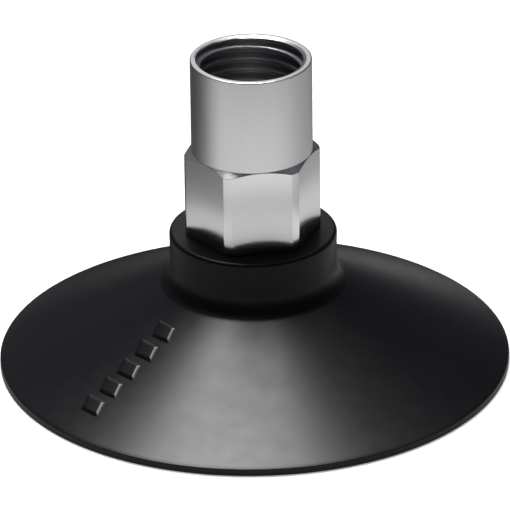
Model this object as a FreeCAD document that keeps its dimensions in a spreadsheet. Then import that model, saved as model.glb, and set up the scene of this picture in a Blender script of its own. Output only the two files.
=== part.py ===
import FreeCAD, Part
import os
import Sketcher

# Vacuum suction cup: an aluminium screw-in socket with a G1/4 port and a 14 mm hexagon, and a
# moulded rubber cup that is clamped to it by a support plate and a hollow screw.
# Millimetres, +Z up along the axis. The origin is the centre of the sealing lip's lower face.
# The cup is one moulding. It is divided at two radii, because its lip travels up to the
# workpiece stroke while its neck stays with the socket.

DIMENSIONS = {
    # heights, from the plane that the lip rests on
    "total_height": 37.9,
    "hex_top_height": 26.7,
    "collar_top_height": 16.5,
    "crease_height": 10.1,
    "web_height": 8.0,
    "rim_height": 0.8,
    # connection socket
    "socket_radius": 6.95,
    "socket_edge": 0.15,
    "hex_across_flats": 14.0,
    "hex_corner_radius": 7.8,
    "hex_turn": 38.7,
    "port_bore_radius": 5.7225,
    "port_mouth_radius": 6.45,
    "port_floor_height": 25.5,
    "screen_seat_radius": 5.2,
    "screen_seat_depth": 0.6,
    "passage_radius": 2.5,
    "tapped_radius": 4.05,
    "tapped_top_height": 15.1,
    "shank_radius": 5.5,
    "shank_ridge": 0.4,
    "shank_ridge_width": 1.6,
    "lower_ridge_height": 10.0,
    "upper_ridge_height": 13.2,
    # filter screen
    "screen_radius": 5.15,
    "screen_thickness": 0.5,
    "screen_hole_radius": 0.4,
    "screen_hole_spacing": 1.45,
    # support plate
    "plate_radius": 9.5,
    "plate_bore_radius": 4.2,
    "plate_thickness": 1.2,
    "plate_edge": 0.4,
    # hollow screw
    "screw_radius": 4.0,
    "screw_top_height": 14.2,
    "head_radius": 6.0,
    "head_thickness": 1.6,
    "head_edge": 0.4,
    "drive_across_flats": 5.0,
    "drive_depth": 3.2,
    "screw_passage_radius": 2.1,
    "head_slot_width": 1.4,
    "head_slot_depth": 0.7,
    # rubber cup
    "collar_radius": 9.65,
    "collar_foot_radius": 9.55,
    "collar_edge": 0.35,
    "crease_radius": 10.6,
    "crease_fillet": 1.7,
    "rim_radius": 29.5,
    "land_width": 1.6,
    "web_radius": 10.6,
    "lip_root_radius": 25.0,
    "lip_root_height": 1.15,
    "neck_split_radius": 13.0,
    "rib_inner_radius": 13.6,
    "rib_outer_radius": 22.6,
    "rib_width": 1.3,
    "rib_depth": 0.8,
    "rib_root": 0.4,
}
SCREEN_HOLE_RINGS = 3
RIB_COUNT = 12
HEXAGON_TURN = 15  # degrees

doc = FreeCAD.newDocument("vacuum_suction_cup")
sheet = doc.addObject("Spreadsheet::Sheet", "Dimensions")
for row, (alias, value) in enumerate(DIMENSIONS.items(), start=1):
    sheet.set(f"A{row}", alias)
    sheet.set(f"B{row}", str(value))
    sheet.setAlias(f"B{row}", alias)
doc.recompute()


def dim(alias):
    """The expression that reads one cell of the sheet, in millimetres."""
    return f"Dimensions.{alias} * 1 mm"


def on_cone(radius):
    """The height of the cup's outer cone at a radius, as an expression."""
    rise = f"({dim('crease_height')} - {dim('rim_height')})"
    run = f"({dim('rim_radius')} - {dim('crease_radius')})"
    return f"{dim('rim_height')} + ({dim('rim_radius')} - {radius}) * {rise} / {run}"


def inside_cone(radius):
    """The height of the cup's inner cone at a radius, as an expression."""
    rise = f"({dim('web_height')} - {dim('lip_root_height')})"
    run = f"({dim('lip_root_radius')} - {dim('web_radius')})"
    drop = f"({radius} - {dim('web_radius')}) * {rise} / {run}"
    return f"{dim('web_height')} - {drop}"


def new_body(label):
    """An empty sub-part, placed at the origin."""
    body = doc.addObject("PartDesign::Body", label)
    body.Label = label
    body.Placement = FreeCAD.Placement()
    return body


def origin_feature(body, role):
    """One of a body's own planes or axes, such as XY_Plane or Z_Axis."""
    return next(f for f in body.Origin.OriginFeatures if f.Role == role)


def new_sketch(body, name, plane="XZ_Plane"):
    """An empty sketch on one of the body's own planes."""
    sketch = body.newObject("Sketcher::SketchObject", name)
    sketch.AttachmentSupport = [(origin_feature(body, plane), "")]
    sketch.MapMode = "FlatFace"
    return sketch


def lift(sketch, height, turn=None):
    """Moves a sketch on the XY plane up to a height, and turns it about the axis."""
    sketch.setExpression("AttachmentOffset.Base.z", height)
    if turn:
        sketch.AttachmentOffset = FreeCAD.Placement(
            FreeCAD.Vector(), FreeCAD.Rotation(FreeCAD.Vector(0, 0, 1), 1)
        )
        sketch.setExpression("AttachmentOffset.Rotation.Angle", turn)


def value_of(expression):
    """The number that an expression has now, so that an outline starts close to its size."""
    return float(sheet.evalExpression(expression).getValueAs("mm"))


def outline(sketch, corners):
    """Draws a closed outline of straight sides and ties each corner to the sheet.

    Each corner is a pair of expressions. "0" puts it on the axis of that direction.
    """
    places = []
    for across, up in corners:
        x = 0.0 if across == "0" else value_of(across)
        y = 0.0 if up == "0" else value_of(up)
        places.append(FreeCAD.Vector(x, y, 0))
    first = sketch.GeometryCount
    count = len(corners)
    for n in range(count):
        sketch.addGeometry(Part.LineSegment(places[n], places[(n + 1) % count]), False)
    for n in range(count):
        ends = (first + n, 2, first + (n + 1) % count, 1)
        sketch.addConstraint(Sketcher.Constraint("Coincident", *ends))
    for n, (across, up) in enumerate(corners):
        side = first + n
        if across == "0":
            sketch.addConstraint(Sketcher.Constraint("PointOnObject", side, 1, -2))
        else:
            rule = Sketcher.Constraint("DistanceX", -1, 1, side, 1, places[n].x)
            sketch.setExpression(f"Constraints[{sketch.addConstraint(rule)}]", across)
        if up == "0":
            sketch.addConstraint(Sketcher.Constraint("PointOnObject", side, 1, -1))
        else:
            rule = Sketcher.Constraint("DistanceY", -1, 1, side, 1, places[n].y)
            sketch.setExpression(f"Constraints[{sketch.addConstraint(rule)}]", up)


def circle(sketch, radius, across="0"):
    """Draws a circle on the sketch's X axis and ties its radius and place to the sheet."""
    centre = FreeCAD.Vector(0.0 if across == "0" else value_of(across), 0, 0)
    size = value_of(radius)
    ring = sketch.addGeometry(Part.Circle(centre, FreeCAD.Vector(0, 0, 1), size), False)
    rule = sketch.addConstraint(Sketcher.Constraint("Radius", ring, size))
    sketch.setExpression(f"Constraints[{rule}]", radius)
    sketch.addConstraint(Sketcher.Constraint("PointOnObject", ring, 3, -1))
    if across == "0":
        sketch.addConstraint(Sketcher.Constraint("PointOnObject", ring, 3, -2))
    else:
        place = Sketcher.Constraint("DistanceX", -1, 1, ring, 3, centre.x)
        sketch.setExpression(f"Constraints[{sketch.addConstraint(place)}]", across)


def hexagon(sketch, across_flats):
    """Draws a regular hexagon about the origin, turned so that no corner lies on an axis."""
    reach = f"{across_flats} / 2 / cos(30 deg)"
    corners = []
    for n in range(6):
        angle = 60 * n + HEXAGON_TURN
        corners.append((f"{reach} * cos({angle} deg)", f"{reach} * sin({angle} deg)"))
    outline(sketch, corners)


def revolve(body, corners):
    """Turns an outline in the XZ plane once round the axis."""
    sketch = new_sketch(body, f"{body.Label}_profile")
    outline(sketch, corners)
    turned = body.newObject("PartDesign::Revolution", f"{body.Label}_turned")
    turned.Profile = sketch
    turned.ReferenceAxis = (sketch, ["V_Axis"])
    turned.Angle = 360
    doc.recompute()
    return turned


def pocket(body, sketch, depth, upwards=True):
    """Cuts a sketch on the XY plane into the body. The volume must fall."""
    before = body.Shape.Volume
    cut = body.newObject("PartDesign::Pocket", f"{sketch.Name}_cut")
    cut.Profile = sketch
    cut.Type = "Length"
    cut.setExpression("Length", depth)
    cut.Reversed = upwards
    doc.recompute()
    if not body.Shape.Volume < before:
        raise ValueError(f"{cut.Name} takes nothing away")
    return cut


def repeat(body, feature, count):
    """Repeats a feature evenly round the axis, and makes the result the body's shape."""
    pattern = body.newObject("PartDesign::PolarPattern", f"{feature.Name}_ring")
    pattern.Originals = [feature]
    pattern.Axis = (origin_feature(body, "Z_Axis"), [""])
    pattern.Angle = 360
    pattern.Occurrences = count
    body.Tip = pattern
    doc.recompute()
    return pattern


def circle_edges(feature, places):
    """The names of the feature's round edges at these (radius, height) places."""
    names = []
    wanted = [(value_of(radius), value_of(height)) for radius, height in places]
    for n, edge in enumerate(feature.Shape.Edges, start=1):
        if not isinstance(edge.Curve, Part.Circle):
            continue
        centre = edge.Curve.Center
        for radius, height in wanted:
            if abs(edge.Curve.Radius - radius) < 1e-4 and abs(centre.z - height) < 1e-4:
                names.append(f"Edge{n}")
    return names


def dress(body, kind, base, places, size):
    """Rounds (Fillet) or bevels (Chamfer) the round edges at these places."""
    soft = body.newObject(f"PartDesign::{kind}", f"{base.Name}_{kind.lower()}")
    soft.Base = (base, circle_edges(base, places))
    soft.setExpression("Radius" if kind == "Fillet" else "Size", size)
    body.Tip = soft
    doc.recompute()
    return soft


def make_socket():
    """Turned from hexagon bar: port at the top, hexagon, and a ridged shank for the rubber."""
    body = new_body("connection_socket")
    top = dim("total_height")
    collar_top = dim("collar_top_height")
    hex_top = dim("hex_top_height")
    corner = dim("hex_corner_radius")
    outside = dim("socket_radius")
    bore = dim("port_bore_radius")
    mouth = dim("port_mouth_radius")
    floor = dim("port_floor_height")
    seat_floor = f"{floor} - {dim('screen_seat_depth')}"
    shank = dim("shank_radius")
    ridge = f"{shank} + {dim('shank_ridge')}"
    foot = dim("web_height")
    corners = [
        (outside, top),
        (mouth, top),
        (bore, f"{top} - ({mouth} - {bore})"),
        (bore, floor),
        (dim("screen_seat_radius"), floor),
        (dim("screen_seat_radius"), seat_floor),
        (dim("passage_radius"), seat_floor),
        (dim("passage_radius"), dim("tapped_top_height")),
        (dim("tapped_radius"), dim("tapped_top_height")),
        (dim("tapped_radius"), foot),
        (shank, foot),
    ]
    for start in (dim("lower_ridge_height"), dim("upper_ridge_height")):
        corners.append((shank, start))
        corners.append((ridge, start))
        corners.append((shank, f"{start} + {dim('shank_ridge_width')}"))
    corners += [
        (shank, collar_top),
        (corner, collar_top),
        (corner, f"{hex_top} - ({corner} - {outside}) * tan(30 deg)"),
        (outside, hex_top),
    ]
    turned = revolve(body, corners)
    edged = dress(body, "Chamfer", turned, [(outside, top)], dim("socket_edge"))
    flat = new_sketch(body, "hexagon_flat", "XY_Plane")
    lift(flat, collar_top, "Dimensions.hex_turn * 1 deg")
    near = f"{dim('hex_across_flats')} / 2"
    side = dim("hex_corner_radius")
    outline(
        flat,
        [
            (near, f"-{side}"),
            (f"2 * {side}", f"-{side}"),
            (f"2 * {side}", side),
            (near, side),
        ],
    )
    cut = pocket(body, flat, f"{hex_top} - {collar_top}")
    repeat(body, cut, 6)
    return body


def make_screen():
    """A perforated disc that sits below the port's thread."""
    body = new_body("filter_screen")
    disc = new_sketch(body, "screen_disc", "XY_Plane")
    floor = f"{dim('port_floor_height')} - {dim('screen_seat_depth')}"
    lift(disc, floor)
    circle(disc, dim("screen_radius"))
    pad = body.newObject("PartDesign::Pad", "screen_plate")
    pad.Profile = disc
    pad.setExpression("Length", dim("screen_thickness"))
    doc.recompute()
    middle = new_sketch(body, "screen_middle_hole", "XY_Plane")
    lift(middle, floor)
    circle(middle, dim("screen_hole_radius"))
    pocket(body, middle, dim("screen_thickness"))
    for ring in range(1, SCREEN_HOLE_RINGS + 1):
        hole = new_sketch(body, f"screen_hole_{ring}", "XY_Plane")
        lift(hole, floor)
        circle(hole, dim("screen_hole_radius"), f"{ring} * {dim('screen_hole_spacing')}")
        cut = pocket(body, hole, dim("screen_thickness"))
        repeat(body, cut, 6 * ring)
    return body


def make_plate():
    """The disc that backs the rubber web."""
    body = new_body("support_plate")
    top = dim("web_height")
    low = f"{top} - {dim('plate_thickness')}"
    outer = dim("plate_radius")
    inner = dim("plate_bore_radius")
    turned = revolve(body, [(inner, low), (outer, low), (outer, top), (inner, top)])
    dress(body, "Fillet", turned, [(outer, low), (outer, top)], dim("plate_edge"))
    return body


def make_screw():
    """The hollow screw that draws the plate up against the socket's shank."""
    body = new_body("hollow_screw")
    under_head = f"{dim('web_height')} - {dim('plate_thickness')}"
    low = f"{under_head} - {dim('head_thickness')}"
    top = dim("screw_top_height")
    head = dim("head_radius")
    shank = dim("screw_radius")
    bore = dim("screw_passage_radius")
    turned = revolve(
        body,
        [(bore, low), (head, low), (head, under_head), (shank, under_head), (shank, top), (bore, top)],
    )
    dress(body, "Fillet", turned, [(head, low)], dim("head_edge"))
    drive = new_sketch(body, "screw_drive", "XY_Plane")
    lift(drive, low)
    hexagon(drive, dim("drive_across_flats"))
    pocket(body, drive, dim("drive_depth"))
    slot = new_sketch(body, "screw_slot", "XY_Plane")
    lift(slot, low)
    side = f"{dim('head_slot_width')} / 2"
    reach = f"{head} + 1 mm"
    outline(
        slot,
        [
            (f"-({reach})", f"-{side}"),
            (reach, f"-{side}"),
            (reach, side),
            (f"-({reach})", side),
        ],
    )
    pocket(body, slot, dim("head_slot_depth"))
    return body


def make_neck():
    """The cup's collar and shoulder, moulded round the socket's ridges."""
    body = new_body("cup_neck")
    top = dim("collar_top_height")
    web = dim("web_height")
    split = dim("neck_split_radius")
    bore = dim("shank_radius")
    groove = f"{bore} + {dim('shank_ridge')}"
    crease = (dim("crease_radius"), dim("crease_height"))
    foot = (dim("collar_foot_radius"), on_cone(dim("collar_foot_radius")))
    corners = [
        (bore, top),
        (dim("collar_radius"), top),
        foot,
        (split, on_cone(split)),
        (split, inside_cone(split)),
        (dim("web_radius"), web),
        (bore, web),
    ]
    for start in (dim("lower_ridge_height"), dim("upper_ridge_height")):
        corners.append((bore, start))
        corners.append((groove, start))
        corners.append((bore, f"{start} + {dim('shank_ridge_width')}"))
    turned = revolve(body, corners)
    creased = dress(body, "Fillet", turned, [foot], dim("crease_fillet"))
    dress(body, "Fillet", creased, [(dim("collar_radius"), top)], dim("collar_edge"))
    return body


def make_skirt():
    """The flexible part of the cup's cone, with the ribs that a sheet is drawn against."""
    body = new_body("cup_skirt")
    inner = dim("neck_split_radius")
    outer = dim("lip_root_radius")
    revolve(
        body,
        [
            (inner, on_cone(inner)),
            (inner, inside_cone(inner)),
            (outer, inside_cone(outer)),
            (outer, on_cone(outer)),
        ],
    )
    near = dim("rib_inner_radius")
    far = dim("rib_outer_radius")
    profile = new_sketch(body, "rib_profile")
    outline(
        profile,
        [
            (near, f"{inside_cone(near)} + {dim('rib_root')}"),
            (near, f"{inside_cone(near)} - {dim('rib_depth')}"),
            (far, f"{inside_cone(far)} - {dim('rib_depth')} / 2"),
            (far, f"{inside_cone(far)} + {dim('rib_root')}"),
        ],
    )
    rib = body.newObject("PartDesign::Pad", "rib")
    rib.Profile = profile
    rib.setExpression("Length", dim("rib_width"))
    rib.Midplane = True
    doc.recompute()
    repeat(body, rib, RIB_COUNT)
    return body


def make_lip():
    """The cup's thin outer ring. Its flat land seals on the workpiece."""
    body = new_body("sealing_lip")
    root = dim("lip_root_radius")
    rim = dim("rim_radius")
    revolve(
        body,
        [
            (root, on_cone(root)),
            (root, inside_cone(root)),
            (f"{rim} - {dim('land_width')}", "0"),
            (rim, "0"),
            (rim, dim("rim_height")),
        ],
    )
    return body


sub_parts = [
    make_socket(),
    make_screen(),
    make_plate(),
    make_screw(),
    make_neck(),
    make_skirt(),
    make_lip(),
]
doc.recompute()

for thing in doc.Objects:
    if "Invalid" in thing.State or "Error" in thing.State:
        raise ValueError(f"{thing.Name} did not compute")
for body in sub_parts:
    if body.Shape.isNull() or not body.Shape.isValid():
        raise ValueError(f"{body.Label} has no valid shape")

os.makedirs("parts", exist_ok=True)
for body in sub_parts:
    body.Shape.exportStep(f"parts/{body.Label}.step")
    box = body.Shape.BoundBox
    print(
        f"{body.Label}: {body.Shape.Volume:.1f} mm3, {len(body.Shape.Solids)} solid, "
        f"z {box.ZMin:.2f} to {box.ZMax:.2f}, radius {box.XMax:.2f}"
    )
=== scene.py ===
import math

import bmesh
import bpy
import numpy as np
from mathutils import Matrix, Quaternion, Vector


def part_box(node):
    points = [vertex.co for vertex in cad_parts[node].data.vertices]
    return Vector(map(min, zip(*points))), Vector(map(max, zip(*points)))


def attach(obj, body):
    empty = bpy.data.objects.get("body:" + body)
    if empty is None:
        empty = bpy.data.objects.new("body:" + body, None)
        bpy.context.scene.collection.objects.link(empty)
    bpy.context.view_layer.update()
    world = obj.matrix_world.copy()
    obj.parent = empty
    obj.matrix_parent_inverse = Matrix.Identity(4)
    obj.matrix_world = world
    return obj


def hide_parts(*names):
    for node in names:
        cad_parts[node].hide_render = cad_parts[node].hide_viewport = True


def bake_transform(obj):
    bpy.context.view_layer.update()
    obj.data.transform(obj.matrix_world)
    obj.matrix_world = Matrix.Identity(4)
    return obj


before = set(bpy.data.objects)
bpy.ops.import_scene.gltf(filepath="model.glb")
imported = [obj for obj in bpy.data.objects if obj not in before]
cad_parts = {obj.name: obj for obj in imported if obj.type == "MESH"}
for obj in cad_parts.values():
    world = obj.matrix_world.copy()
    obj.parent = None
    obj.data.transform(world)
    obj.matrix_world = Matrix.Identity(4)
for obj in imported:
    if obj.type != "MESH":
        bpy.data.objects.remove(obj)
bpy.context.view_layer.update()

MM = 0.001

# ---------------------------------------------------------------------------------------------
# Sizes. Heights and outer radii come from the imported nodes, and the rest are in millimetres.
# ---------------------------------------------------------------------------------------------


def node_size(node):
    """A node's outer radius, lowest point and highest point, in millimetres."""
    low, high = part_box(node)
    return high.x / MM, low.z / MM, high.z / MM


_, SHANK_FOOT, SOCKET_TOP = node_size("connection_socket")
RIM_RADIUS, FLOOR_LEVEL, _ = node_size("sealing_lip")
_, _, COLLAR_TOP = node_size("cup_neck")
LIP_ROOT_RADIUS, LIP_ROOT_HEIGHT, _ = node_size("cup_skirt")
PLATE_RADIUS, PLATE_LOW, PLATE_TOP = node_size("support_plate")
HEAD_RADIUS, HEAD_LOW, SCREW_TOP = node_size("hollow_screw")
SCREEN_RADIUS, SCREEN_LOW, SCREEN_TOP = node_size("filter_screen")

HEX_CORNER_RADIUS = 7.8
SOCKET_RADIUS = 6.95
SOCKET_EDGE = 0.14
HEX_ACROSS_FLATS = 14.0
HEX_TOP = SOCKET_TOP - 11.2
HEX_FLAT_DIRECTION = math.radians(38.7)
HEX_TOP_BEVEL = math.radians(30)
HEX_EDGE_SOFTNESS = 0.012
SHANK_RADIUS = 5.5
SHANK_RIDGE = 0.38
RIDGE_WIDTH = 1.6
RIDGE_STARTS = (PLATE_TOP + 2.0, PLATE_TOP + 5.2)
PORT_MOUTH_RADIUS = 6.34
PORT_MOUTH_DEPTH = 0.21
PORT_RELIEF_RADIUS = 5.98
PORT_RELIEF_DEPTH = 0.46
PORT_FLOOR = SOCKET_TOP - 12.4
SEAT_RADIUS = 5.2
PASSAGE_RADIUS = 2.5
TAPPED_RADIUS = 4.05
TAPPED_TOP = PLATE_TOP + 7.1

THREAD_PITCH = 1.337
THREAD_MINOR_RADIUS = 5.7225
THREAD_MAJOR_RADIUS = 6.5785
THREAD_ROUNDING = 0.1373 * THREAD_PITCH
THREAD_HALF_ANGLE = math.radians(27.5)
THREAD_CREST_AT_BACK = SOCKET_TOP - 1.32
THREAD_ROW = 0.05
THREAD_END_GAP = 0.5
THREAD_RUNOUT = 1.2

COLLAR_RADIUS = 9.65
COLLAR_FOOT_RADIUS = 9.55
COLLAR_EDGE = 0.45
CREASE_RADIUS = 10.6
FILLET_GUIDE_RADIUS = 14.2
CREASE_HEIGHT = PLATE_TOP + 2.1
CREASE_FILLET = 2.8
CONE_SAG = 0.25
RIM_HEIGHT = 0.8
RIM_EDGE = 0.12
RIM_STRIP = 0.5
LAND_WIDTH = 1.6
MATT_RADIUS = COLLAR_RADIUS + 1.2
WEB_RADIUS = 10.6
WEB_HEIGHT = PLATE_TOP
INNER_CONE_TOP_RADIUS = 11.2
RIB_COUNT = 12
RIB_INNER_RADIUS = 13.6
RIB_OUTER_RADIUS = 22.6
RIB_WIDTH = 1.3
RIB_DEPTH = 0.8
RIB_FLANK = 0.22
RIB_END = 0.4
MARK_BARS = 5
MARK_AZIMUTH = math.radians(-47)
MARK_INNER_RADIUS = 14.2
MARK_OUTER_RADIUS = 25.2
MARK_BAR_LENGTH = 2.1
MARK_BAR_WIDTH = 2.9
MARK_SLANT = 0.9
MARK_HEIGHT = 0.17
MARK_FLANK = 0.34
MARK_SINK = 0.02
MARK_ROOT = 0.15
MARK_STEPS = 16

PLATE_BORE_RADIUS = 4.2
PLATE_EDGE = 0.4
PLATE_BORE_EDGE = 0.12
GROOVE_RADIUS = HEAD_RADIUS + 0.5
GROOVE_WIDTH = 0.4
GROOVE_FLANK = 0.1
GROOVE_DEPTH = 0.12
SCREW_RADIUS = 4.0
SCREW_MINOR_RADIUS = 3.35
SCREW_PITCH = 1.25
SCREW_PASSAGE_RADIUS = 2.1
SCREW_ROW = 0.125
SCREW_UNDERCUT = 0.9
HEAD_TOP = PLATE_LOW
HEAD_EDGE = 0.4
DRIVE_ACROSS_FLATS = 5.0
DRIVE_DEPTH = 3.2
DRIVE_TURN = math.radians(45)
HEAD_SLOT_WIDTH = 1.4
HEAD_SLOT_DEPTH = 0.7
BAND_INNER_RADIUS = SCREEN_RADIUS - 0.55
SCREEN_WIRE_RADIUS = 0.10
SCREEN_WIRE_SPACING = 0.62
SCREEN_WIRE_SIDES = 6
SCREEN_WIRE_END = 0.2

# ---------------------------------------------------------------------------------------------
# Studio. Places, widths and gaps are in metres, and the mat's radii in millimetres. Tones are
# (azimuth, tone) pairs, where the azimuth is 0 degrees in front and 90 on the right.
# ---------------------------------------------------------------------------------------------

WORLD_COLOUR = (0.85, 0.98, 1.12, 1)
WORLD_STRENGTH = 0.07
FLOOR_HALF_WIDTH = 6.0
FLOOR_GAP = 0.00003
FLOOR_GLOW = 0.3
MAT_GAP = 0.00001
MAT_INNER_RADIUS = 29.6
MAT_COLUMNS = 180
MAT_REACH = (160, 400)
MAT_OUTER_TONE = 0.05
# Both tables are the mat's glow, painted reflections; their low tones behind are painted floor
# shadow.
FAR_TONES = (
    (-180, 0.10),
    (-152, 0.10),
    (-135, 0.06),
    (-115, 0.10),
    (-95, 0.22),
    (-77, 0.62),
    (-57, 1.08),
    (0, 1.20),
    (40, 1.12),
    (66, 0.88),
    (95, 0.58),
    (121, 0.46),
    (151, 0.26),
    (180, 0.10),
)
NEAR_TONES = (
    (-180, 0.10),
    (-140, 0.10),
    (-100, 0.44),
    (-60, 0.56),
    (-20, 0.49),
    (30, 0.47),
    (80, 0.60),
    (145, 0.40),
    (170, 0.10),
)

CAMERA_ELEVATION = math.radians(26.16)
CAMERA_DISTANCE = 0.700
CAMERA_ROLL = math.radians(-0.752)
CAMERA_TARGET = Vector((0.184 * MM, 0, 13.04 * MM))
CAMERA_LENS = 429.25
CAMERA_SENSOR = 36.0
CUP_MIDDLE = (0, 0, 0.02)


# ---------------------------------------------------------------------------------------------
# Mesh helpers
# ---------------------------------------------------------------------------------------------


def new_object(name, mesh):
    thing = bpy.data.objects.new(name, mesh)
    bpy.context.collection.objects.link(thing)
    return thing


def smooth_by_angle(mesh, limit=math.radians(32)):
    """Shades a mesh smooth, with a hard edge wherever two faces turn by more than the limit."""
    work = bmesh.new()
    work.from_mesh(mesh)
    for face in work.faces:
        face.smooth = True
    for edge in work.edges:
        edge.smooth = edge.calc_face_angle(0.0) < limit
    work.to_mesh(mesh)
    work.free()


def soften(corners, steps=3):
    """Rounds the corners of an open or closed outline.

    A corner is (radius, height, rounding). It becomes steps + 1 points on an arc, or stays one
    point where its rounding is 0.
    """
    points = []
    count = len(corners)
    for n, (x, y, rounding) in enumerate(corners):
        here = Vector((x, y))
        before = Vector(corners[n - 1][:2]) - here
        after = Vector(corners[(n + 1) % count][:2]) - here
        if rounding <= 0:
            points.append(here)
            continue
        turn = before.angle(after)
        reach = min(rounding / math.tan(turn / 2), 0.45 * before.length, 0.45 * after.length)
        radius = reach * math.tan(turn / 2)
        middle = here + (before.normalized() + after.normalized()).normalized() * (
            radius / math.sin(turn / 2)
        )
        start = here + before.normalized() * reach - middle
        end = here + after.normalized() * reach - middle
        sweep = start.angle_signed(end)
        for k in range(steps + 1):
            along = start.copy()
            along.rotate(Matrix.Rotation(-sweep * k / steps, 2))
            points.append(middle + along)
    return points


def outward_normals(mesh):
    """Merges points that coincide and turns every face outwards."""
    work = bmesh.new()
    work.from_mesh(mesh)
    bmesh.ops.remove_doubles(work, verts=work.verts, dist=0.0001 * MM)
    bmesh.ops.recalc_face_normals(work, faces=work.faces)
    work.to_mesh(mesh)
    work.free()


def ring_of_columns(name, angles, column):
    """A closed mesh from one closed outline per angle, in millimetres.

    column(angle) gives the outline as (radius, height) points, as many at every angle.
    """
    places = []
    for angle in angles:
        for radius, height in column(angle):
            places.append((radius * math.cos(angle), radius * math.sin(angle), height))
    rows = len(places) // len(angles)
    faces = []
    for a in range(len(angles)):
        b = (a + 1) % len(angles)
        for n in range(rows):
            up = (n + 1) % rows
            faces.append((a * rows + n, b * rows + n, b * rows + up, a * rows + up))
    mesh = bpy.data.meshes.new(name)
    mesh.from_pydata((np.array(places) * MM).tolist(), [], faces)
    outward_normals(mesh)
    smooth_by_angle(mesh)
    return new_object(name, mesh)


def even_angles(count):
    return [2 * math.pi * n / count for n in range(count)]


def fade(value, low, high):
    """0 below low, 1 above high, and smooth between them."""
    share = min(max((value - low) / (high - low), 0.0), 1.0)
    return share * share * (3 - 2 * share)


# ---------------------------------------------------------------------------------------------
# Materials
# ---------------------------------------------------------------------------------------------


def new_material(name, **values):
    """A material with its principled shader's sockets set, and a shorthand for its nodes."""
    material = bpy.data.materials.new(name)
    material.use_nodes = True
    tree = material.node_tree
    shader = tree.nodes["Principled BSDF"]
    for socket, value in values.items():
        shader.inputs[socket.replace("_", " ")].default_value = value
    return material, tree, shader


def add_node(tree, kind, **values):
    node = tree.nodes.new(kind)
    for name, value in values.items():
        if name in node.inputs:
            node.inputs[name].default_value = value
        else:
            setattr(node, name, value)
    return node


def noise(tree, vector, scale, detail=4.0, roughness=0.6):
    node = add_node(tree, "ShaderNodeTexNoise", Scale=scale, Detail=detail, Roughness=roughness)
    tree.links.new(vector, node.inputs["Vector"])
    return node.outputs["Fac"]


def remap(tree, value, low, high, from_low=0.0, from_high=1.0):
    node = tree.nodes.new("ShaderNodeMapRange")
    tree.links.new(value, node.inputs["Value"])
    node.inputs["From Min"].default_value = from_low
    node.inputs["From Max"].default_value = from_high
    node.inputs["To Min"].default_value = low
    node.inputs["To Max"].default_value = high
    return node.outputs["Result"]


def stretched(tree, scale):
    """Object coordinates, scaled along each axis."""
    place = tree.nodes.new("ShaderNodeTexCoord")
    mapping = tree.nodes.new("ShaderNodeMapping")
    mapping.inputs["Scale"].default_value = scale
    tree.links.new(place.outputs["Object"], mapping.inputs["Vector"])
    return mapping.outputs["Vector"]


def between(tree, factor, low_colour, high_colour):
    ramp = tree.nodes.new("ShaderNodeValToRGB")
    ramp.color_ramp.elements[0].color = low_colour
    ramp.color_ramp.elements[1].color = high_colour
    tree.links.new(factor, ramp.inputs["Fac"])
    return ramp.outputs["Color"]


def bump(tree, shader, height, strength, distance, below=None):
    node = add_node(tree, "ShaderNodeBump", Strength=strength, Distance=distance)
    tree.links.new(height, node.inputs["Height"])
    if below:
        tree.links.new(below, node.inputs["Normal"])
    tree.links.new(node.outputs["Normal"], shader.inputs["Normal"])
    return node.outputs["Normal"]


def aluminium(name, streak=(1, 1, 1), tone=0.62, roughness=0.30):
    """Satin aluminium. The streak scale draws the tool marks out along the small axes."""
    material, tree, shader = new_material(name, Metallic=1.0)
    fine = noise(tree, stretched(tree, streak), 5200, 3.0)
    cloud = noise(tree, stretched(tree, (1, 1, 1)), 260, 3.0)
    light = (tone * 1.03, tone * 1.02, tone * 1.04, 1)
    dark = (tone * 0.97, tone * 0.96, tone * 0.975, 1)
    tree.links.new(between(tree, cloud, dark, light), shader.inputs["Base Color"])
    tree.links.new(remap(tree, fine, roughness - 0.05, roughness + 0.06), shader.inputs["Roughness"])
    bump(tree, shader, fine, 0.25, 0.00002)
    return material


def rubber(name, roughness, gloss, grain):
    """Black moulded nitrile rubber with a fine mottle, between blue-black and brown-black."""
    material, tree, shader = new_material(name, Specular_IOR_Level=gloss)
    vector = stretched(tree, (1, 1, 1))
    cloud = noise(tree, vector, 70, 3.0, 0.6)
    mottle = noise(tree, vector, 520, 4.0, 0.6)
    skin = noise(tree, vector, 3200, 2.0)
    colour = between(tree, cloud, (0.0008, 0.0014, 0.0026, 1), (0.0036, 0.0018, 0.0028, 1))
    tree.links.new(colour, shader.inputs["Base Color"])
    sheen = remap(tree, mottle, roughness - 0.02, roughness + 0.02, 0.3, 0.7)
    tree.links.new(sheen, shader.inputs["Roughness"])
    soft = bump(tree, shader, mottle, 0.08 * grain, 0.00004)
    bump(tree, shader, skin, 0.16 * grain, 0.00001, soft)
    return material


def steel(name):
    material, tree, shader = new_material(name, Metallic=1.0)
    vector = stretched(tree, (1, 1, 1))
    marks = noise(tree, vector, 3000, 3.0)
    colour = between(tree, marks, (0.40, 0.40, 0.41, 1), (0.50, 0.50, 0.51, 1))
    tree.links.new(colour, shader.inputs["Base Color"])
    tree.links.new(remap(tree, marks, 0.22, 0.36), shader.inputs["Roughness"])
    bump(tree, shader, marks, 0.2, 0.00002)
    return material


ALUMINIUM_TURNED = aluminium("aluminium_turned", (1, 1, 9))
ALUMINIUM_DRAWN = aluminium("aluminium_drawn", (4, 4, 1), 0.57, 0.17)
# A darker copy of the turned aluminium for the port's thread: painted shade in the recess.
ALUMINIUM_THREAD_SHADED = aluminium("aluminium_thread_shaded", (1, 1, 9), 0.44, 0.36)
RUBBER = rubber("nitrile_rubber", 0.31, 0.32, 1.0)
RUBBER_MATT = rubber("nitrile_rubber_matt", 0.40, 0.16, 1.3)
RUBBER_POLISHED = rubber("nitrile_rubber_polished", 0.29, 0.26, 0.4)
STEEL = steel("stainless_steel")


def finish_with(thing, *materials):
    for material in materials:
        thing.data.materials.append(material)


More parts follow.
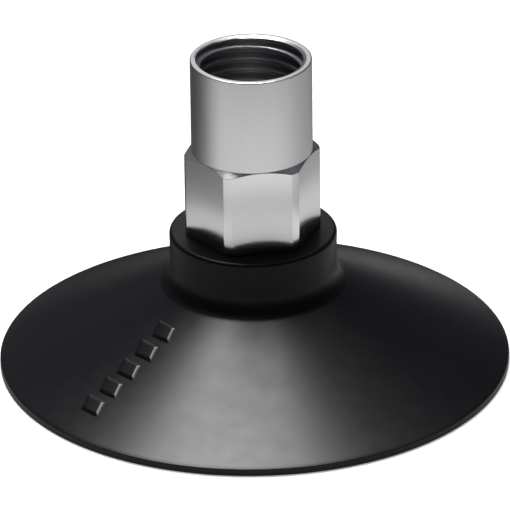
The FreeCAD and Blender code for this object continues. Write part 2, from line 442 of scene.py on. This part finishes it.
# ---------------------------------------------------------------------------------------------
# Connection socket: turned top, hexagon, ridged shank, threaded port
# ---------------------------------------------------------------------------------------------


def hex_radius(angle):
    """The hexagon's outline with its corners turned down, a little rounded where they meet."""
    step = math.pi / 3
    off = (angle - HEX_FLAT_DIRECTION + step / 2) % step - step / 2
    flat = HEX_ACROSS_FLATS / 2 / math.cos(off)
    gap = flat - HEX_CORNER_RADIUS
    return 0.5 * (flat + HEX_CORNER_RADIUS - math.hypot(gap, HEX_EDGE_SOFTNESS))


def hex_angles():
    """Columns every 2 degrees, and close together where a flat meets a turned corner."""
    edge = math.acos(HEX_ACROSS_FLATS / 2 / HEX_CORNER_RADIUS)
    angles = set()
    for side in range(6):
        middle = HEX_FLAT_DIRECTION + side * math.pi / 3
        for off in np.linspace(-edge, edge, 27):
            angles.add(round(middle + off, 6))
        for sign in (-1, 1):
            for extra in (-0.6, -0.3, 0.3, 0.6, 1.2):
                angles.add(round(middle + sign * (edge + math.radians(extra)), 6))
        for off in np.linspace(edge, math.pi / 3 - edge, 6)[1:-1]:
            angles.add(round(middle + off, 6))
    return sorted(angle % (2 * math.pi) for angle in angles)


def thread_radius(angle, height):
    """The wall of a right-hand Whitworth thread, which runs out above the port's floor."""
    crest = THREAD_CREST_AT_BACK + THREAD_PITCH * (angle - math.pi / 2) / (2 * math.pi)
    off = abs((height - crest + THREAD_PITCH / 2) % THREAD_PITCH - THREAD_PITCH / 2)
    tangent = THREAD_ROUNDING * math.cos(THREAD_HALF_ANGLE)
    rise = THREAD_ROUNDING * (1 - math.sin(THREAD_HALF_ANGLE))
    half = THREAD_PITCH / 2
    if off < tangent:
        radius = THREAD_MINOR_RADIUS + THREAD_ROUNDING - math.sqrt(THREAD_ROUNDING**2 - off**2)
    elif off > half - tangent:
        back = half - off
        radius = THREAD_MAJOR_RADIUS - THREAD_ROUNDING + math.sqrt(THREAD_ROUNDING**2 - back**2)
    else:
        share = (off - tangent) / (half - 2 * tangent)
        low = THREAD_MINOR_RADIUS + rise
        radius = low + share * (THREAD_MAJOR_RADIUS - rise - low)
    cut = min(max((height - PORT_FLOOR - THREAD_END_GAP) / THREAD_RUNOUT, 0.0), 1.0)
    return THREAD_MINOR_RADIUS + (radius - THREAD_MINOR_RADIUS) * cut


def mouth_radius(height):
    """The port's shallow countersink and the short relief above its first thread."""
    depth = SOCKET_TOP - height
    if depth < PORT_MOUTH_DEPTH:
        slope = (PORT_MOUTH_RADIUS - PORT_RELIEF_RADIUS) / PORT_MOUTH_DEPTH
        return PORT_MOUTH_RADIUS - depth * slope
    if depth < PORT_RELIEF_DEPTH:
        return PORT_RELIEF_RADIUS
    return PORT_RELIEF_RADIUS - (depth - PORT_RELIEF_DEPTH)


def socket_column(angle):
    corner = hex_radius(angle)
    bevel_low = HEX_TOP - (corner - SOCKET_RADIUS) * math.tan(HEX_TOP_BEVEL)
    outside = [
        (PORT_MOUTH_RADIUS, SOCKET_TOP, 0.0),
        (SOCKET_RADIUS, SOCKET_TOP, SOCKET_EDGE),
        (SOCKET_RADIUS, HEX_TOP, 0.03),
        (corner, bevel_low, 0.05),
        (corner, COLLAR_TOP, 0.06),
        (SHANK_RADIUS, COLLAR_TOP, 0.0),
    ]
    for start in reversed(RIDGE_STARTS):
        outside += [
            (SHANK_RADIUS, start + RIDGE_WIDTH, 0.0),
            (SHANK_RADIUS + SHANK_RIDGE, start, 0.05),
            (SHANK_RADIUS, start, 0.0),
        ]
    outside += [
        (SHANK_RADIUS, SHANK_FOOT, 0.1),
        (TAPPED_RADIUS, SHANK_FOOT, 0.1),
        (TAPPED_RADIUS, TAPPED_TOP, 0.0),
        (PASSAGE_RADIUS, TAPPED_TOP, 0.0),
        (PASSAGE_RADIUS, SCREEN_LOW, 0.1),
        (SEAT_RADIUS, SCREEN_LOW, 0.0),
        (SEAT_RADIUS, PORT_FLOOR, 0.05),
        (THREAD_MINOR_RADIUS, PORT_FLOOR, 0.0),
    ]
    points = [tuple(point) for point in soften(outside)]
    rows = int((SOCKET_TOP - PORT_FLOOR) / THREAD_ROW)
    for n in range(1, rows):
        height = PORT_FLOOR + n * (SOCKET_TOP - PORT_FLOOR) / rows
        points.append((max(thread_radius(angle, height), mouth_radius(height)), height))
    return points


def make_socket():
    """The hexagon's flats and turned corners are drawn stock, and the port's wall is threaded."""
    thing = ring_of_columns("socket_body", hex_angles(), socket_column)
    finish_with(thing, ALUMINIUM_TURNED, ALUMINIUM_DRAWN, ALUMINIUM_THREAD_SHADED)
    for face in thing.data.polygons:
        place = face.center / MM
        across = math.hypot(place.x, place.y)
        if across > SOCKET_RADIUS + 0.02 and abs(face.normal.z) < 0.1 and place.z < HEX_TOP:
            face.material_index = 1
        elif across < THREAD_MAJOR_RADIUS and place.z < SOCKET_TOP - 0.01:
            # Faces inside the port take the darker aluminium, painted shade in the recess.
            face.material_index = 2
    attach(thing, "root")
    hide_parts("connection_socket")


# ---------------------------------------------------------------------------------------------
# Rubber cup: one moulding, between the socket and its sealing lip
# ---------------------------------------------------------------------------------------------


def on_cone(radius):
    """The cup's outer cone, which flares a little: it is steeper at the collar than at the rim."""
    share = (RIM_RADIUS - radius) / (RIM_RADIUS - CREASE_RADIUS)
    straight = RIM_HEIGHT + (CREASE_HEIGHT - RIM_HEIGHT) * share
    return straight - 4 * CONE_SAG * share * (1 - share)


def inside_cone(radius):
    slope = (WEB_HEIGHT - LIP_ROOT_HEIGHT) / (LIP_ROOT_RADIUS - WEB_RADIUS)
    return WEB_HEIGHT - (radius - WEB_RADIUS) * slope


def rib_height(radius, side):
    """How far a rib stands below the inner cone. side is the distance from its middle."""
    across = fade(RIB_WIDTH / 2 - side, 0, RIB_FLANK)
    from_end = min(radius - RIB_INNER_RADIUS, RIB_OUTER_RADIUS - radius)
    along = min(max(from_end / RIB_END, 0.0), 1.0)
    taper = 1 - 0.5 * (radius - RIB_INNER_RADIUS) / (RIB_OUTER_RADIUS - RIB_INNER_RADIUS)
    return RIB_DEPTH * taper * across * along


def cup_angles():
    """Columns that crowd together across each rib."""
    angles = []
    for n in range(RIB_COUNT):
        middle = 2 * math.pi * n / RIB_COUNT
        for off in (-3.6, -2.9, -2.3, -1.8, -1.3, -0.8, 0, 0.8, 1.3, 1.8, 2.3, 2.9, 3.6):
            angles.append(middle + math.radians(off))
        for off in np.linspace(5.2, 24.8, 11):
            angles.append(middle + math.radians(off))
    return angles


def cup_column(angle):
    corners = [
        (SHANK_RADIUS, COLLAR_TOP, 0.0),
        (COLLAR_RADIUS, COLLAR_TOP, COLLAR_EDGE),
        (COLLAR_FOOT_RADIUS, on_cone(COLLAR_FOOT_RADIUS), CREASE_FILLET),
        (FILLET_GUIDE_RADIUS, on_cone(FILLET_GUIDE_RADIUS), 0.0),
    ]
    points = [tuple(point) for point in soften(corners, 10)]
    strip = RIM_RADIUS - RIM_STRIP
    for radius in np.linspace(FILLET_GUIDE_RADIUS + 0.4, strip, 38):
        points.append((radius, on_cone(radius)))
    rim = [
        (strip, on_cone(strip), 0.0),
        (RIM_RADIUS, RIM_HEIGHT, RIM_EDGE),
        (RIM_RADIUS, FLOOR_LEVEL, 0.06),
        (RIM_RADIUS - LAND_WIDTH, FLOOR_LEVEL, 0.1),
        (LIP_ROOT_RADIUS, LIP_ROOT_HEIGHT, 0.0),
    ]
    points += [tuple(point) for point in soften(rim, 4)[1:-1]]
    spoke = 2 * math.pi / RIB_COUNT
    off = abs((angle + spoke / 2) % spoke - spoke / 2)
    for radius in np.linspace(LIP_ROOT_RADIUS, INNER_CONE_TOP_RADIUS, 60):
        side = radius * math.sin(off)
        points.append((radius, inside_cone(radius) - rib_height(radius, side)))
    points.append((WEB_RADIUS, WEB_HEIGHT))
    points.append((SHANK_RADIUS, WEB_HEIGHT))
    for start in RIDGE_STARTS:
        points += [
            (SHANK_RADIUS, start),
            (SHANK_RADIUS + SHANK_RIDGE, start),
            (SHANK_RADIUS, start + RIDGE_WIDTH),
        ]
    return points


def bend_with_lip(thing):
    """Bakes the object's transform into its mesh."""
    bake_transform(thing)


def make_cup():
    thing = ring_of_columns("rubber_cup", cup_angles(), cup_column)
    finish_with(thing, RUBBER, RUBBER_MATT)
    for face in thing.data.polygons:
        place = face.center / MM
        on_collar = math.hypot(place.x, place.y) < MATT_RADIUS
        if on_collar and place.z > on_cone(MATT_RADIUS):
            face.material_index = 1
    bend_with_lip(thing)
    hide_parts("cup_neck", "cup_skirt", "sealing_lip")


def mark_bar(middle_radius, across, along, under):
    """A place on one raised bar, or under it. across and along run from -1 to 1 over its sides."""
    radius = middle_radius + along * MARK_BAR_LENGTH / 2
    side = across * MARK_BAR_WIDTH / 2 + along * MARK_SLANT / 2
    edge = min((1 - abs(across)) * MARK_BAR_WIDTH, (1 - abs(along)) * MARK_BAR_LENGTH) / 2
    raised = -MARK_ROOT if under else MARK_HEIGHT * fade(edge, 0, MARK_FLANK)
    turn = MARK_AZIMUTH + side / radius
    return (
        radius * math.sin(turn) * MM,
        -radius * math.cos(turn) * MM,
        (on_cone(radius) + raised - MARK_SINK) * MM,
    )


def bar_border(steps):
    """The places round the edge of a bar's square grid, in order."""
    wide = steps + 1
    border = [n * wide for n in range(steps)]
    border += [steps * wide + n for n in range(steps)]
    border += [(steps - n) * wide + steps for n in range(steps)]
    border += [steps - n for n in range(steps)]
    return border


def bar_faces(first, steps):
    """The faces of one closed bar: its raised grid, the grid under it, and the wall between."""
    wide = steps + 1
    top = first
    bottom = first + wide * wide
    faces = []
    for sheet in (top, bottom):
        for a in range(steps):
            for b in range(steps):
                here = sheet + a * wide + b
                faces.append((here, here + wide, here + wide + 1, here + 1))
    border = bar_border(steps)
    for here, there in zip(border, border[1:] + border[:1]):
        faces.append((top + here, top + there, bottom + there, bottom + here))
    return faces


def make_mark():
    """A plain row of raised slanted bars on the cone, where such a cup carries its marking."""
    grid = np.linspace(-1, 1, MARK_STEPS + 1)
    places, faces = [], []
    for middle in np.linspace(MARK_INNER_RADIUS, MARK_OUTER_RADIUS, MARK_BARS):
        faces += bar_faces(len(places), MARK_STEPS)
        for under in (False, True):
            for across in grid:
                for along in grid:
                    places.append(mark_bar(middle, across, along, under))
    mesh = bpy.data.meshes.new("raised_mark")
    mesh.from_pydata(places, [], faces)
    outward_normals(mesh)
    smooth_by_angle(mesh)
    thing = new_object("raised_mark", mesh)
    finish_with(thing, RUBBER_POLISHED)
    bend_with_lip(thing)


# ---------------------------------------------------------------------------------------------
# Support plate, hollow screw and filter screen
# ---------------------------------------------------------------------------------------------


def make_plate():
    """A turned ring under the rubber web, with a fine groove where the screw's head stops."""
    groove_end = GROOVE_RADIUS + GROOVE_WIDTH
    groove_top = PLATE_LOW + GROOVE_DEPTH
    outline = [
        (PLATE_BORE_RADIUS, PLATE_LOW, PLATE_BORE_EDGE),
        (GROOVE_RADIUS, PLATE_LOW, 0.0),
        (GROOVE_RADIUS + GROOVE_FLANK, groove_top, 0.0),
        (groove_end - GROOVE_FLANK, groove_top, 0.0),
        (groove_end, PLATE_LOW, 0.0),
        (PLATE_RADIUS, PLATE_LOW, PLATE_EDGE),
        (PLATE_RADIUS, PLATE_TOP, PLATE_EDGE),
        (PLATE_BORE_RADIUS, PLATE_TOP, PLATE_BORE_EDGE),
    ]
    points = [tuple(point) for point in soften(outline, 5)]
    thing = ring_of_columns("support_plate_disc", even_angles(160), lambda angle: points)
    finish_with(thing, ALUMINIUM_TURNED)
    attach(thing, "root")
    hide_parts("support_plate")


def drive_radius(angle):
    """The screw's hexagon socket at an angle."""
    step = math.pi / 3
    off = (angle - DRIVE_TURN + step / 2) % step - step / 2
    return DRIVE_ACROSS_FLATS / 2 / math.cos(off)


def screw_angles():
    """Even columns, the corners of the drive, and pairs of columns at the slot's ends."""
    angles = set(even_angles(144))
    for n in range(6):
        angles.add(DRIVE_TURN + math.pi / 6 + n * math.pi / 3)
    for radius in np.linspace(DRIVE_ACROSS_FLATS / 2, HEAD_RADIUS, 8):
        end = math.asin(HEAD_SLOT_WIDTH / 2 / radius)
        for side in (end, math.pi - end, math.pi + end, 2 * math.pi - end):
            angles.add(side)
    return sorted(round(angle % (2 * math.pi), 6) for angle in angles)


def screw_column(angle):
    """The screw's outline: slotted head, threaded shank, passage and hexagon socket."""
    drive = drive_radius(angle)
    slot_top = HEAD_LOW + HEAD_SLOT_DEPTH
    reach = HEAD_SLOT_WIDTH / 2 / max(abs(math.sin(angle)), 1e-6)
    slotted = min(max(reach, drive), HEAD_RADIUS)
    rim_low = slot_top if reach >= HEAD_RADIUS else HEAD_LOW
    inner_low = slot_top if reach > drive else HEAD_LOW
    if rim_low == slot_top:
        slotted -= HEAD_EDGE
    rim = [
        (HEAD_RADIUS, HEAD_TOP, 0.05),
        (HEAD_RADIUS, rim_low, HEAD_EDGE),
        (slotted, rim_low, 0.0),
        (slotted, inner_low, 0.0),
        (drive, inner_low, 0.0),
        (drive, HEAD_LOW + DRIVE_DEPTH, 0.0),
        (SCREW_PASSAGE_RADIUS, HEAD_LOW + DRIVE_DEPTH + 0.3, 0.0),
        (SCREW_PASSAGE_RADIUS, SCREW_TOP, 0.0),
    ]
    points = [tuple(point) for point in soften(rim, 4)]
    shank_low = HEAD_TOP + SCREW_UNDERCUT
    rows = int((SCREW_TOP - shank_low) / SCREW_ROW)
    for n in range(rows + 1):
        height = SCREW_TOP - n * (SCREW_TOP - shank_low) / rows
        points.append((screw_thread_radius(angle, height), height))
    points.append((SCREW_MINOR_RADIUS, HEAD_TOP))
    return points


def screw_thread_radius(angle, height):
    """A right-hand V thread that runs out into the shank's end chamfer."""
    turn = (height / SCREW_PITCH - angle / (2 * math.pi)) % 1
    flank = min(abs(turn - 0.5) * 2.4, 1.0)
    thread = SCREW_RADIUS - flank * (SCREW_RADIUS - SCREW_MINOR_RADIUS)
    chamfer = SCREW_MINOR_RADIUS + (SCREW_TOP - height)
    return min(thread, max(chamfer, SCREW_MINOR_RADIUS))


def make_screw():
    thing = ring_of_columns("hollow_screw_body", screw_angles(), screw_column)
    finish_with(thing, STEEL)
    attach(thing, "root")
    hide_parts("hollow_screw")


def wire_rings(half, phase):
    """One woven wire's centre line as (distance along, height), over and under its neighbours."""
    steps = max(4, round(2 * half / SCREEN_WIRE_SPACING * 4))
    for n in range(steps + 1):
        along = -half + 2 * half * n / steps
        wave = math.cos(math.pi * (along / SCREEN_WIRE_SPACING + phase))
        yield along, wave * SCREEN_WIRE_RADIUS


def wire(offset, half, phase, crossed):
    """One wire's places and faces. A crossed wire runs along Y, and the others along X."""
    middle = (SCREEN_LOW + SCREEN_TOP) / 2
    sides = SCREEN_WIRE_SIDES
    places = []
    for along, rise in wire_rings(half, phase):
        for turn in even_angles(sides):
            across = offset + SCREEN_WIRE_RADIUS * math.cos(turn)
            height = middle + rise + SCREEN_WIRE_RADIUS * math.sin(turn)
            flat = (across, along) if crossed else (along, across)
            places.append((flat[0] * MM, flat[1] * MM, height * MM))
    last = len(places) - sides
    faces = []
    for ring in range(0, last, sides):
        for k in range(sides):
            a, b = ring + k, ring + (k + 1) % sides
            faces.append((a, b, b + sides, a + sides))
    faces.append(tuple(range(sides)))
    faces.append(tuple(range(last, last + sides)))
    return places, faces


def make_weave():
    """The screen's disc of woven wire, whose ends stand in the band."""
    count = int(BAND_INNER_RADIUS / SCREEN_WIRE_SPACING)
    places, faces = [], []
    for crossed in (False, True):
        for n in range(-count, count + 1):
            offset = n * SCREEN_WIRE_SPACING
            half = math.sqrt((BAND_INNER_RADIUS + SCREEN_WIRE_END) ** 2 - offset**2)
            first = len(places)
            wire_places, wire_faces = wire(offset, half, n + crossed, crossed)
            places += wire_places
            faces += [tuple(first + corner for corner in face) for face in wire_faces]
    mesh = bpy.data.meshes.new("filter_screen_weave")
    mesh.from_pydata(places, [], faces)
    outward_normals(mesh)
    smooth_by_angle(mesh, math.radians(75))
    return new_object("filter_screen_weave", mesh)


def make_band():
    """The pressed band round the screen's edge."""
    outline = [
        (BAND_INNER_RADIUS, SCREEN_LOW + 0.06, 0.05),
        (SCREEN_RADIUS, SCREEN_LOW, 0.08),
        (SCREEN_RADIUS, SCREEN_TOP, 0.08),
        (BAND_INNER_RADIUS, SCREEN_TOP - 0.06, 0.05),
    ]
    points = [tuple(point) for point in soften(outline, 4)]
    return ring_of_columns("filter_screen_band", even_angles(96), lambda angle: points)


def make_screen():
    for thing in (make_weave(), make_band()):
        finish_with(thing, STEEL)
        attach(thing, "root")
        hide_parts("filter_screen")


# ---------------------------------------------------------------------------------------------
# Stage: floor, lights and camera
# ---------------------------------------------------------------------------------------------


def make_floor():
    mesh = bpy.data.meshes.new("floor")
    half = FLOOR_HALF_WIDTH
    level = FLOOR_LEVEL * MM - FLOOR_GAP
    mesh.from_pydata(
        [(-half, -half, level), (half, -half, level), (half, half, level), (-half, half, level)],
        [],
        [(0, 1, 2, 3)],
    )
    floor = new_object("floor", mesh)
    material, tree, shader = new_material("pale_floor", Roughness=0.9, Specular_IOR_Level=0.0)
    soft = noise(tree, stretched(tree, (1, 1, 1)), 3.0, 2.0)
    colour = between(tree, soft, (0.86, 0.86, 0.86, 1), (0.88, 0.88, 0.88, 1))
    tree.links.new(colour, shader.inputs["Base Color"])
    shader.inputs["Emission Color"].default_value = (1, 1, 1, 1)
    shader.inputs["Emission Strength"].default_value = FLOOR_GLOW
    finish_with(floor, material)
    floor.visible_glossy = False


def tone_at(azimuth, tones):
    """The tone at an azimuth, in a straight line between the pairs on either side of it."""
    return np.interp(azimuth, [stop for stop, _ in tones], [tone for _, tone in tones])


def mat_tone(radius, azimuth):
    """How bright the mat is at a radius in millimetres and an azimuth in degrees.

    The near tones are what the hexagon's faces show, and the far tones what the cylinder shows.
    The two cross over further out where the hexagon's front and right faces look than elsewhere.
    Behind the cup the mat starts further from the rim, which keeps the rear of the cone dark.
    Its low tones behind and to the back left are painted shadow of the floor.
    Far from the cup it fades to its outer tone.
    """
    elsewhere = fade(abs(azimuth - 10), 40, 75) - fade(azimuth, 100, 130)
    near = tone_at(azimuth, NEAR_TONES)
    near *= 1.9 - 0.9 * fade(radius, 44 - 3 * elsewhere, 70 - 21 * elsewhere)
    far = tone_at(azimuth, FAR_TONES)
    tone = near + (far - near) * fade(radius, 48 - 2 * elsewhere, 80 - 8 * elsewhere)
    behind = fade(abs(azimuth), 100, 145)
    start = MAT_INNER_RADIUS + 7 * behind
    # Inside the start the mat keeps its edge tone: bright in front, and nearly black behind as
    # painted contact shadow.
    edge = 0.4 - 0.37 * behind
    tone = edge + (tone - edge) * fade(radius, start, start + 3)
    return tone + (MAT_OUTER_TONE - tone) * fade(radius, *MAT_REACH)


def mat_radii():
    """Rings that stand close together where the tone changes fast, and one far away."""
    close = [MAT_INNER_RADIUS, *range(30, 44), *range(44, 60, 2)]
    return [*close, 60, 90, 130, 160, 220, 280, 340, 400, 6000]


def mat_material():
    """Light whose strength is the mesh's own tone."""
    material = bpy.data.materials.new("reflection_mat")
    material.use_nodes = True
    tree = material.node_tree
    tree.nodes.clear()
    tone = add_node(tree, "ShaderNodeAttribute", attribute_name="tone")
    glow = tree.nodes.new("ShaderNodeEmission")
    surface = tree.nodes.new("ShaderNodeOutputMaterial")
    tree.links.new(tone.outputs["Fac"], glow.inputs["Strength"])
    tree.links.new(glow.outputs["Emission"], surface.inputs["Surface"])
    return material


def make_mat():
    """A glowing sheet round the cup, seen only in reflections: painted reflections and painted floor
    shadow.
    """
    radii = mat_radii()
    level = FLOOR_LEVEL * MM - MAT_GAP
    places, faces, tones = [], [], []
    for radius in radii:
        for n in range(MAT_COLUMNS):
            azimuth = 360 * n / MAT_COLUMNS - 180
            x, y = math.sin(math.radians(azimuth)), -math.cos(math.radians(azimuth))
            places.append((radius * x * MM, radius * y * MM, level))
            tones.append(float(mat_tone(radius, azimuth)))
    for first in range(0, (len(radii) - 1) * MAT_COLUMNS, MAT_COLUMNS):
        for n in range(MAT_COLUMNS):
            a, b = first + n, first + (n + 1) % MAT_COLUMNS
            faces.append((a, b, b + MAT_COLUMNS, a + MAT_COLUMNS))
    mesh = bpy.data.meshes.new("reflection_mat")
    mesh.from_pydata(places, [], faces)
    mesh.attributes.new("tone", "FLOAT", "POINT").data.foreach_set("value", tones)
    mat = new_object("reflection_mat", mesh)
    finish_with(mat, mat_material())
    mat.visible_camera = False
    mat.visible_diffuse = False
    mat.visible_shadow = False


def make_light(name, place, target, size, power, colour=(1, 1, 1)):
    light = bpy.data.lights.new(name, "AREA")
    light.shape = "RECTANGLE"
    light.size, light.size_y = size
    light.energy = power
    light.color = colour
    thing = bpy.data.objects.new(name, light)
    bpy.context.collection.objects.link(thing)
    thing.location = place
    thing.rotation_mode = "QUATERNION"
    thing.rotation_quaternion = (Vector(target) - Vector(place)).to_track_quat("-Z", "Y")


def make_lights():
    """A large soft light above and behind, a backlight for the port, and three dim cards."""
    make_light("overhead", (-0.085, 0.355, 1.0), (-0.085, 0.355, 0.0), (0.48, 0.53), 14.7)
    make_light("backlight", (-0.05, 0.75, 0.38), CUP_MIDDLE, (0.30, 0.38), 0.24)
    make_light("left_card", (-0.52, 0.62, 0.40), CUP_MIDDLE, (0.60, 0.60), 0.10, (1.0, 0.78, 0.88))
    make_light("right_card", (0.42, 0.34, 0.95), CUP_MIDDLE, (0.40, 0.50), 0.12)
    make_light("front_card", (0, -0.45, 0.95), CUP_MIDDLE, (0.60, 0.50), 0.14)


def make_camera():
    back = Vector((0, -math.cos(CAMERA_ELEVATION), math.sin(CAMERA_ELEVATION)))
    data = bpy.data.cameras.new("camera")
    data.sensor_width = CAMERA_SENSOR
    data.lens = CAMERA_LENS
    data.clip_start = 0.01
    data.clip_end = 50.0
    camera = bpy.data.objects.new("camera", data)
    bpy.context.collection.objects.link(camera)
    camera.location = CAMERA_TARGET + back * CAMERA_DISTANCE
    camera.rotation_mode = "QUATERNION"
    turn = Quaternion((0, 0, 1), CAMERA_ROLL)
    camera.rotation_quaternion = (-back).to_track_quat("-Z", "Y") @ turn
    bpy.context.scene.camera = camera


def make_world():
    world = bpy.data.worlds.new("studio")
    bpy.context.scene.world = world
    world.use_nodes = True
    background = world.node_tree.nodes["Background"]
    background.inputs["Color"].default_value = WORLD_COLOUR
    background.inputs["Strength"].default_value = WORLD_STRENGTH


make_socket()
make_cup()
make_mark()
make_plate()
make_screw()
make_screen()

make_floor()
make_world()
make_mat()
make_lights()
make_camera()
bpy.context.scene.view_settings.view_transform = "Standard"
